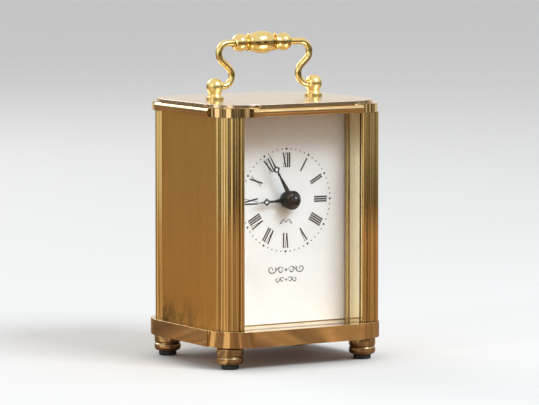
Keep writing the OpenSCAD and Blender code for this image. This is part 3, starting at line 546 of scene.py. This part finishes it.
def refine(node, bevel=0.12 * MM, segments=2, least_angle=30):
    """A welded copy of a CAD node with its sharp edges rounded."""
    form = bmesh.new()
    form.from_mesh(frame["nodes"][node].data)
    bmesh.ops.remove_doubles(form, verts=form.verts, dist=0.001 * MM)
    bmesh.ops.dissolve_limit(form, angle_limit=0.002, verts=form.verts, edges=form.edges)
    sharp = [e for e in form.edges if e.calc_face_angle(0) > math.radians(least_angle)]
    if bevel and sharp:
        bmesh.ops.bevel(form, geom=sharp, offset=bevel, segments=segments, profile=0.5,
                        affect="EDGES", clamp_overlap=True)
    return stand_in(mesh_piece(node + "_finished", form, weighted=True), node)


def arc(centre, radius, start, end, steps=12):
    """Points on an arc, angles in degrees, as (radius, height) pairs."""
    angles = [math.radians(start + (end - start) * i / steps) for i in range(steps + 1)]
    return [(centre[0] + radius * math.cos(a), centre[1] + radius * math.sin(a)) for a in angles]


def soften(points, radius, steps=4):
    """The same outline with every inner corner cut by a small curve."""
    soft = [points[0]]
    for before, here, after in zip(points, points[1:], points[2:]):
        here, to_before, to_after = Vector(here), Vector(before), Vector(after)
        to_before, to_after = to_before - here, to_after - here
        cut = min(radius, to_before.length / 2, to_after.length / 2)
        a, b = here + to_before.normalized() * cut, here + to_after.normalized() * cut
        for i in range(steps + 1):
            t = i / steps
            soft.append(tuple((1 - t) ** 2 * a + 2 * t * (1 - t) * here + t * t * b))
    return soft + [points[-1]]


def lathe_form(outline, place, segments=96):
    """Turns (radius, height) points about the z axis of the matrix place."""
    form = bmesh.new()
    rings = []
    for radius, height in outline:
        if radius < 1e-7:
            rings.append([form.verts.new(place @ Vector((0, 0, height)))])
            continue
        turns = [2 * math.pi * i / segments for i in range(segments)]
        rings.append([form.verts.new(place @ Vector((radius * math.cos(a), radius * math.sin(a),
                                                     height))) for a in turns])
    for lower, upper in zip(rings, rings[1:]):
        for i in range(segments):
            j = (i + 1) % segments
            corners = [lower[i % len(lower)], lower[j % len(lower)], upper[j % len(upper)],
                       upper[i % len(upper)]]
            form.faces.new(list(dict.fromkeys(corners)))
    for ring in (rings[0], rings[-1]):
        if len(ring) > 1:
            form.faces.new(ring)
    return form


def upright(x, y, z):
    return Matrix.Translation((x, y, z))


def turned(degrees, axis):
    return Matrix.Rotation(math.radians(degrees), 4, axis)


def bored(piece, form):
    """The piece with the closed form's space cut out of it."""
    mesh = bpy.data.meshes.new("cutter")
    bmesh.ops.recalc_face_normals(form, faces=form.faces)
    form.to_mesh(mesh)
    form.free()
    cutter = add_object("cutter", mesh)
    cut = piece.modifiers.new("bore", "BOOLEAN")
    cut.operation = "DIFFERENCE"
    cut.solver = "EXACT"
    cut.object = cutter
    bpy.context.view_layer.update()
    whole = piece.evaluated_get(bpy.context.evaluated_depsgraph_get())
    result = bpy.data.meshes.new_from_object(whole)
    piece.modifiers.clear()
    piece.data = result
    bpy.data.objects.remove(cutter)
    result.shade_smooth()
    result.set_sharp_from_angle(angle=math.radians(40))
    return piece


def centre_of(node):
    low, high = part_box(node)
    return (low + high) / 2


# ---- the clock ----

CORNERS = ("front_left", "front_right", "rear_left", "rear_right")


def make_plates():
    refine("base_plate", 0.45 * MM, 4)
    refine("top_plate", 0.18 * MM, 3)
    refine("cap_plate", 0.22 * MM, 3)


def make_case():
    for corner in CORNERS:
        refine("column_" + corner, 0.10 * MM)
    for side in ("left", "right"):
        refine("side_panel_" + side)
        refine("liner_" + side, 0.08 * MM)
        bead = refine("dial_bead_" + side, 0.05 * MM)
        bead.data.materials[0] = MATERIALS["bead_brass"].material
    refine("dial_carrier")
    refine("rear_door", 0.3 * MM, 3)
    refine("door_pins", 0.05 * MM)
    pane = refine("front_glass", 0.1 * MM)
    pane.visible_shadow = False


def make_foot(corner):
    """A turned foot: a rounded lower ring, a groove and an upper ring."""
    low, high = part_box("foot_" + corner)
    x, y = centre_of("foot_" + corner).xy
    r, tall = (high.x - low.x) / 2, high.z - low.z
    groove_z, groove = 0.45 * tall, 0.55 * MM
    lower_round = 1.55 * MM
    outline = [(0, 0), (r - lower_round, 0)]
    outline += arc((r - lower_round, lower_round), lower_round, -90, 0)[1:]
    outline += soften([(r, lower_round + 0.1 * MM), (r, groove_z - groove),
                       (r - groove, groove_z), (r, groove_z + groove),
                       (r, tall - 1.1 * MM), (r - 0.5 * MM, tall), (0, tall)], 0.22 * MM)
    foot = mesh_piece("foot_" + corner + "_turned", lathe_form(outline, upright(x, y, low.z)))
    stand_in(foot, "foot_" + corner)


def make_pad(corner):
    low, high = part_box("pad_" + corner)
    x, y = centre_of("foot_" + corner).xy
    r, tall = (high.x - low.x) / 2, high.z - low.z
    round_r = 0.3 * MM
    outline = soften([(0, 0), (r - round_r, 0), (r, 0.5 * MM), (r, tall), (0, tall)], round_r)
    pad = mesh_piece("pad_" + corner + "_moulded", lathe_form(outline, upright(x, y, low.z), 64))
    stand_in(pad, "pad_" + corner)


def tube_form(points, radius, across, segments=32):
    """A round rod along points that lie in one plane; across is that plane's normal."""
    form = bmesh.new()
    rings = []
    for i, point in enumerate(points):
        ahead, behind = points[min(i + 1, len(points) - 1)], points[max(i - 1, 0)]
        side = across.cross(ahead - behind).normalized()
        angles = [2 * math.pi * k / segments for k in range(segments)]
        rings.append([form.verts.new(point + radius * (math.cos(a) * side + math.sin(a) * across))
                      for a in angles])
    for lower, upper in zip(rings, rings[1:]):
        for k in range(segments):
            n = (k + 1) % segments
            form.faces.new((lower[k], lower[n], upper[n], upper[k]))
    form.faces.new(rings[0])
    form.faces.new(rings[-1])
    return form


def arm_path(side):
    """The rod's middle line in the handle's own plane: in along the pivot, two bends, to the grip."""
    low_c = Vector((POST_X - BALL_R + BEND_IN, LOW_BEND_R))
    high_c = Vector((ARM_OUT_X - HIGH_BEND_R, GRIP_H - HIGH_BEND_R))
    span = high_c - low_c
    reach = LOW_BEND_R + HIGH_BEND_R
    turn = math.atan2(reach, math.sqrt(span.length_squared - reach ** 2)) - math.atan2(span.y, span.x)
    turn = math.degrees(turn) + 180
    path = [(low_c.x + PIN_LENGTH, 0)] + arc(low_c, LOW_BEND_R, 270, 270 - turn, 24)
    path += arc(high_c, HIGH_BEND_R, 90 - turn, 90, 24)
    path += [(ROD_END + side * GRIP_SHIFT, GRIP_H)]
    return [(side * x, y) for x, y in path]


def make_post(name, side, ball_z):
    """A turned post: stud, foot, waist and a ball that is bored for the rod on its inner side."""
    low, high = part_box(name)
    x, y = centre_of(name).xy
    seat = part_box("cap_plate")[1].z
    waist = soften([(POST_FOOT_R, seat + 0.05 * MM), (POST_FOOT_R, seat + POST_FOOT_H),
                    (POST_WAIST_R + 0.35 * MM, seat + POST_FOOT_H + 0.15 * MM),
                    (POST_WAIST_R, seat + POST_FOOT_H + 1.1 * MM)], 0.25 * MM)
    ball = arc((0, ball_z), BALL_R, -32, 90, 24)[:-1]
    outline = [(0, low.z), (STUD_R, low.z), (STUD_R, seat), (POST_FOOT_R, seat)]
    outline += waist + ball + [(0, high.z)]
    post = mesh_piece(name + "_turned", lathe_form(outline, upright(x, y, 0), 64))
    inward = Matrix.Translation((x, y, ball_z)) @ turned(-side * 90, "Y")
    bore_r = ROD_R + 0.04 * MM
    mouth_x = 3.2 * MM
    past_ball = 3.8 * MM
    bore = [(0, 0), (bore_r, 0), (bore_r, mouth_x), (ROD_R + 0.5 * MM, past_ball), (0, past_ball)]
    post = bored(post, lathe_form(bore, inward, 48))
    post.data.materials.append(MATERIALS["post_brass"].material)
    stand_in(post, name)


def grip_outline():
    """Half of the turned grip, from its middle outwards: oval, ring, neck, end ball and rod hole."""
    oval = soften([(OVAL_R, 0.3 * MM), (OVAL_R - 0.25 * MM, 2.6 * MM), (OVAL_R - 1.25 * MM, 5.1 * MM),
                   (2.9 * MM, 5.75 * MM)], 1.6 * MM, 8)
    ring = soften([(RING_R - 0.15 * MM, RING_X - 0.55 * MM), (RING_R, RING_X),
                   (RING_R - 0.15 * MM, RING_X + 0.55 * MM), (2.85 * MM, RING_X + 0.75 * MM)], 0.3 * MM)
    neck = [(2.9 * MM, 7.6 * MM), (3.1 * MM, 8.4 * MM)]
    ball = arc((0, END_BALL_X), END_BALL_R, -33, 66, 20)
    ball_end = END_BALL_X + END_BALL_R
    hole = [(ROD_R + 0.02 * MM, ball_end - 0.42 * MM), (ROD_R, ROD_END), (0, ROD_END)]
    return oval + ring + neck + ball + hole


def make_handle():
    """The bail: two bent rods, the turned grip, and the posts that it swings in."""
    pivot = Vector(next(j for j in frame["joints"] if j["name"] == "handle_swing")["pos_m"])
    stand = Matrix.Translation(pivot + Vector((HANDLE_SHIFT, 0, 0))) @ turned(-HANDLE_LEAN, "X")
    across = (turned(-HANDLE_LEAN, "X") @ Vector((0, 1, 0))).normalized()
    for side, name in ((-1, "left"), (1, "right")):
        points = [stand @ Vector((x, 0, y)) for x, y in arm_path(side)]
        arm = mesh_piece("handle_arm_%s_bent" % name, tube_form(points, ROD_R, across))
        stand_in(arm, "handle_arm_" + name)
        make_post("handle_post_" + name, side, pivot.z)
    along = stand @ Matrix.Translation((GRIP_SHIFT, 0, GRIP_H)) @ turned(90, "Y")
    half = grip_outline()
    outline = [(r, -h) for r, h in reversed(half)] + half
    stand_in(mesh_piece("handle_grip_turned", lathe_form(outline, along)), "handle_grip")


def trim(piece, body, slot):
    """A detail of its own that rides on a body and stands for no CAD node."""
    if not piece.data.materials:
        piece.data.materials.append(MATERIALS[slot].material)
    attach(piece, body)
    return piece


def smooth_line(points, steps=6):
    """A Catmull-Rom curve through the points."""
    ends = [2 * Vector(points[0]) - Vector(points[1])] + [Vector(p) for p in points]
    ends.append(2 * Vector(points[-1]) - Vector(points[-2]))
    line = []
    for a, b, c, d in zip(ends, ends[1:], ends[2:], ends[3:]):
        for i in range(steps):
            t = i / steps
            line.append(0.5 * (2 * b + (c - a) * t + (2 * a - 5 * b + 4 * c - d) * t ** 2
                               + (3 * b - a - 3 * c + d) * t ** 3))
    return line + [Vector(points[-1])]


def slab(form, outline, place, thickness):
    """A flat plate with the given outline, from the place's xy plane towards its z."""
    lower = [form.verts.new(place @ Vector((x, y, 0))) for x, y in outline]
    upper = [form.verts.new(place @ Vector((x, y, thickness))) for x, y in outline]
    form.faces.new(lower)
    form.faces.new(upper)
    for i in range(len(outline)):
        j = (i + 1) % len(outline)
        form.faces.new((lower[i], lower[j], upper[j], upper[i]))


def pen_stroke(form, points, widest, place, thickness):
    """An inked line, thin at its ends and widest in the middle."""
    line = smooth_line(points)
    left, right = [], []
    for i, point in enumerate(line):
        ahead = line[min(i + 1, len(line) - 1)] - line[max(i - 1, 0)]
        across = Vector((-ahead.y, ahead.x)).normalized()
        half = widest * (0.3 + 0.7 * math.sin(math.pi * i / (len(line) - 1))) / 2
        left.append(point + half * across)
        right.append(point - half * across)
    for i in range(len(line) - 1):
        slab(form, (left[i], left[i + 1], right[i + 1], right[i]), place, thickness)


# Scrolls of the dial's printed ornaments, right halves, in mm from each ornament's middle
WIDE_SCROLLS = [
    [(0.8, 0.0), (1.8, 1.0), (3.0, 1.2), (4.4, 0.4), (5.6, -0.8), (7.0, -1.2), (8.2, -0.6),
     (8.5, 0.5), (7.7, 1.2), (6.8, 0.9), (6.6, 0.1), (7.2, -0.3)],
    [(3.0, 1.2), (3.7, 0.3), (3.3, -0.8), (2.3, -1.0), (1.9, -0.3), (2.4, 0.1)],
    [(5.0, -0.2), (5.2, 0.7), (4.8, 1.3)]]
NARROW_SCROLLS = [
    [(0.7, 0.0), (1.5, 0.9), (2.7, 0.8), (3.4, -0.3), (4.4, -0.9), (5.0, -0.1), (4.5, 0.6), (3.9, 0.2)],
    [(2.7, 0.8), (2.6, -0.2), (1.9, -0.7), (1.4, -0.3)]]
SMALL_SCROLLS = [[(0.4, 0.0), (1.0, 0.9), (1.9, 0.6), (2.3, -0.5), (2.9, -0.6), (2.8, 0.3)]]


def make_ornament(name, scrolls, below, lozenge, pen):
    """Mirrored pen scrolls round a small lozenge, printed on the dial below its centre.

    Below is in metres; the lozenge's half width, the pen's width and the ink are in millimetres."""
    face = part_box("dial_plate")[0].y
    middle = centre_of("dial_dots")
    place = facing(middle.x, face, middle.z - below, -1) @ Matrix.Scale(MM, 4)
    ink = 0.05
    form = bmesh.new()
    for points in scrolls:
        for side in (-1, 1):
            pen_stroke(form, [(side * x, y) for x, y in points], pen, place, ink)
    slab(form, [(lozenge, 0), (0, 1.4 * lozenge), (-lozenge, 0), (0, -1.4 * lozenge)], place, ink)
    trim(mesh_piece(name, form), BODY_OF["dial_plate"], "dial_ink")


def facing(x, y, z, way):
    """A place whose z axis points along -Y (way -1) or +Y (way 1)."""
    return Matrix.Translation((x, y, z)) @ turned(-90 * way, "X")


def make_dial():
    refine("dial_plate", 0.08 * MM)
    refine("hour_hand", 0.06 * MM, 2)
    refine("minute_hand", 0.06 * MM, 2)
    make_ornament("dial_scroll_small", SMALL_SCROLLS, 9.2 * MM, 0.35, 0.34)
    make_ornament("dial_scroll_wide", WIDE_SCROLLS, 29.6 * MM, 0.55, 0.42)
    make_ornament("dial_scroll_narrow", NARROW_SCROLLS, 33.8 * MM, 0.45, 0.40)


def make_hand_cap():
    """The black domed nut, with a thin brass collar under it."""
    low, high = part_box("hand_cap")
    tall = high.y - low.y
    middle = centre_of("hand_cap")
    seat = facing(middle.x, high.y, middle.z, -1)
    collar_t = 0.35 * MM
    collar_r = 2.55 * MM
    bore_r = 0.95 * MM
    collar = soften([(bore_r, 0), (collar_r, 0), (collar_r, collar_t), (bore_r, collar_t)], 0.08 * MM)
    trim(mesh_piece("hand_cap_collar", lathe_form(collar + collar[:1], seat)), "minute", "turned_brass")
    dome_r = 2.75 * MM
    edge_r = 1.3 * MM
    outline = [(0, collar_t), (2.3 * MM, collar_t)]
    outline += arc((dome_r - edge_r, collar_t + edge_r), edge_r, -60, 0, 8)
    outline += arc((0, tall - dome_r), dome_r, 0, 90, 24)[:-1] + [(0, tall)]
    stand_in(mesh_piece("hand_cap_domed", lathe_form(outline, seat)), "hand_cap")


def box_form(form, low, high, bevel, segments=2):
    """Adds a box with rounded edges to a bmesh."""
    made = bmesh.ops.create_cube(form, size=1)["verts"]
    size, middle = Vector(high) - Vector(low), (Vector(high) + Vector(low)) / 2
    for vert in made:
        vert.co = middle + Vector(a * b for a, b in zip(vert.co, size))
    edges = list({edge for vert in made for edge in vert.link_edges})
    bmesh.ops.bevel(form, geom=edges, offset=bevel, segments=segments, profile=0.5, affect="EDGES")


def make_door_knob():
    """A turned pull: shank through the door, foot, stem and a rounded head."""
    low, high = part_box("door_knob")
    middle = centre_of("door_knob")
    r = (high.x - low.x) / 2
    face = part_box("rear_door")[1].y
    tall = high.y - face
    shank_r = 1.0 * MM
    foot_r = 2.2 * MM
    outline = [(0, low.y - face), (shank_r, low.y - face), (shank_r, 0)]
    outline += soften([(foot_r, 0), (foot_r, 0.6 * MM), (1.2 * MM, 0.9 * MM),
                       (1.15 * MM, tall - 2.2 * MM), (r - 0.2 * MM, tall - 1.9 * MM),
                       (r, tall - 1.0 * MM), (r - 0.7 * MM, tall - 0.15 * MM), (0, tall)], 0.35 * MM)
    knob = mesh_piece("door_knob_turned", lathe_form(outline, facing(middle.x, face, middle.z, 1)))
    stand_in(knob, "door_knob")


def make_movement():
    refine("set_knob", 0.12 * MM)
    refine("movement_cover", 0.15 * MM)
    refine("movement_case", 0.15 * MM)


def make_battery():
    """A jacketed cell that lies along X, with its bare base at the left and its nub at the right."""
    low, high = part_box("battery")
    middle = centre_of("battery")
    along = Matrix.Translation((low.x, middle.y, middle.z)) @ turned(90, "Y")
    r = (high.z - low.z) / 2
    nub_r = 2.7 * MM
    nub_h = 1.0 * MM
    length = high.x - low.x - nub_h
    end_in = 0.25 * MM
    rim = r - 1.2 * MM
    jacket = soften([(rim, end_in), (r, 0.15 * MM), (r, length - 0.15 * MM), (rim, length - end_in)],
                    0.4 * MM)
    jacket = [(0, end_in)] + jacket + [(0, length - end_in)]
    stand_in(mesh_piece("battery_jacketed", lathe_form(jacket, along)), "battery")
    base_h = 0.24 * MM
    base = soften([(0, 0), (r - 2.2 * MM, 0), (r - 1.7 * MM, base_h)], 0.2 * MM) + [(0, base_h)]
    trim(mesh_piece("battery_base", lathe_form(base, along, 64)), BODY_OF["battery"], "nickel")
    nub = soften([(0, length - end_in), (r - 1.7 * MM, length - end_in),
                  (r - 2.0 * MM, length - 0.05 * MM), (nub_r, length),
                  (nub_r - 0.1 * MM, length + 0.9 * MM), (nub_r - 0.5 * MM, length + nub_h),
                  (0, length + nub_h)], 0.25 * MM)
    trim(mesh_piece("battery_nub", lathe_form(nub, along, 64)), BODY_OF["battery"], "nickel")


def make_coil():
    """Close turns of wire between the bobbin's two flanges."""
    low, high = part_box("coil")
    middle = centre_of("coil")
    base = upright(middle.x, middle.y, low.z)
    flange_r = (high.x - low.x) / 2
    flange_t = 0.6 * MM
    winding_r = 2.95 * MM
    wire = 0.34 * MM
    turns = int((high.z - low.z - 2 * flange_t) / wire)
    outline = [(0, flange_t)]
    for i in range(turns):
        outline += arc((winding_r, flange_t + (i + 0.5) * wire), wire / 2, -80, 80, 4)
    outline += [(0, flange_t + turns * wire)]
    stand_in(mesh_piece("coil_wound", lathe_form(outline, base, 48), 80), "coil")
    for z, name in ((0, "low"), (high.z - low.z - flange_t, "high")):
        outline = soften([(0, z), (flange_r, z), (flange_r, z + flange_t), (0, z + flange_t)], 0.12 * MM)
        flange = mesh_piece("coil_flange_" + name, lathe_form(outline, base, 48))
        trim(flange, BODY_OF["coil"], "gear_nylon")


def make_circuit_board():
    """The board with its chip under a blob of resin and its crystal in a small can."""
    low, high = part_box("circuit_board")
    back, board_t = high.y, 0.8 * MM
    front = back - board_t
    body = BODY_OF["circuit_board"]
    form = bmesh.new()
    box_form(form, (low.x, front, low.z), (high.x, back, high.z), 0.06 * MM)
    stand_in(mesh_piece("circuit_board_etched", form), "circuit_board")
    blob_r, blob_h = 2.6 * MM, 0.9 * MM
    outline = soften([(0, 0), (blob_r, 0), (blob_r - 0.3 * MM, 0.5 * MM), (1.2 * MM, 0.85 * MM),
                      (0, blob_h)], 0.4 * MM)
    level_z = centre_of("circuit_board").z
    blob = lathe_form(outline, facing(-20 * MM, front, level_z, -1), 48)
    trim(mesh_piece("circuit_chip_blob", blob), body, "movement_plastic")
    can_r, can_l = 1.0 * MM, 6 * MM
    outline = soften([(0, 0), (can_r, 0), (can_r, can_l), (0, can_l)], 0.25 * MM)
    along = Matrix.Translation((-14 * MM, front - 0.9 * MM, level_z)) @ turned(90, "Y")
    trim(mesh_piece("circuit_crystal", lathe_form(outline, along, 32)), body, "nickel")


def make_cover_marks():
    """Raised marks on the movement's cover: ribs by the battery, plus, minus and a turning arrow."""
    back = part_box("movement_cover")[1].y
    battery_low, battery_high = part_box("battery")
    set_at = centre_of("set_knob")
    middle_x = centre_of("movement_cover").x
    rise, sunk = 0.25 * MM, 0.1 * MM
    rib_half, rib_h = 24 * MM, 0.6 * MM
    form = bmesh.new()
    for z in (battery_high.z + 1.0 * MM, battery_high.z + 2.4 * MM):
        box_form(form, (middle_x - rib_half, back - sunk, z),
                 (middle_x + rib_half, back + rise, z + rib_h), 0.1 * MM)
    sign_in, sign_up = 3 * MM, 5.6 * MM
    long, short = 1.6 * MM, 0.3 * MM
    for x, bars in ((battery_high.x - sign_in, ((long, short), (short, long))),
                    (battery_low.x + sign_in, ((long, short),))):
        z = battery_high.z + sign_up
        for half_x, half_z in bars:
            box_form(form, (x - half_x, back - sunk, z - half_z),
                     (x + half_x, back + rise, z + half_z), 0.08 * MM)
    place = facing(set_at.x, back - 0.05 * MM, set_at.z, 1)
    outer_r, inner_r = 7.2 * MM, 6.7 * MM
    slab(form, arc((0, 0), outer_r, 20, 130, 20) + arc((0, 0), inner_r, 130, 20, 20), place, rise)
    neck, tip = math.radians(128), math.radians(144.02)
    head = [(r * math.cos(a), r * math.sin(a))
            for r, a in ((8.2 * MM, neck), (5.7 * MM, neck), (6.95 * MM, tip))]
    slab(form, head, place, rise)
    marks = mesh_piece("movement_cover_marks", form)
    marks.data.materials.append(MATERIALS["cover_mark"].material)
    trim(marks, BODY_OF["movement_cover"], "movement_plastic")


def finish_the_rest():
    """CAD nodes that keep their own shape get the same procedural finishes."""
    for node, piece in frame["nodes"].items():
        if not piece.hide_render:
            piece.data.materials.clear()
            piece.data.materials.append(MATERIALS[SLOT_OF[node]].material)


make_camera()
make_studio()
make_plates()
make_case()
for corner in CORNERS:
    make_foot(corner)
    make_pad(corner)
make_handle()
make_dial()
make_hand_cap()
make_door_knob()
make_movement()
make_battery()
make_coil()
make_circuit_board()
make_cover_marks()
finish_the_rest()
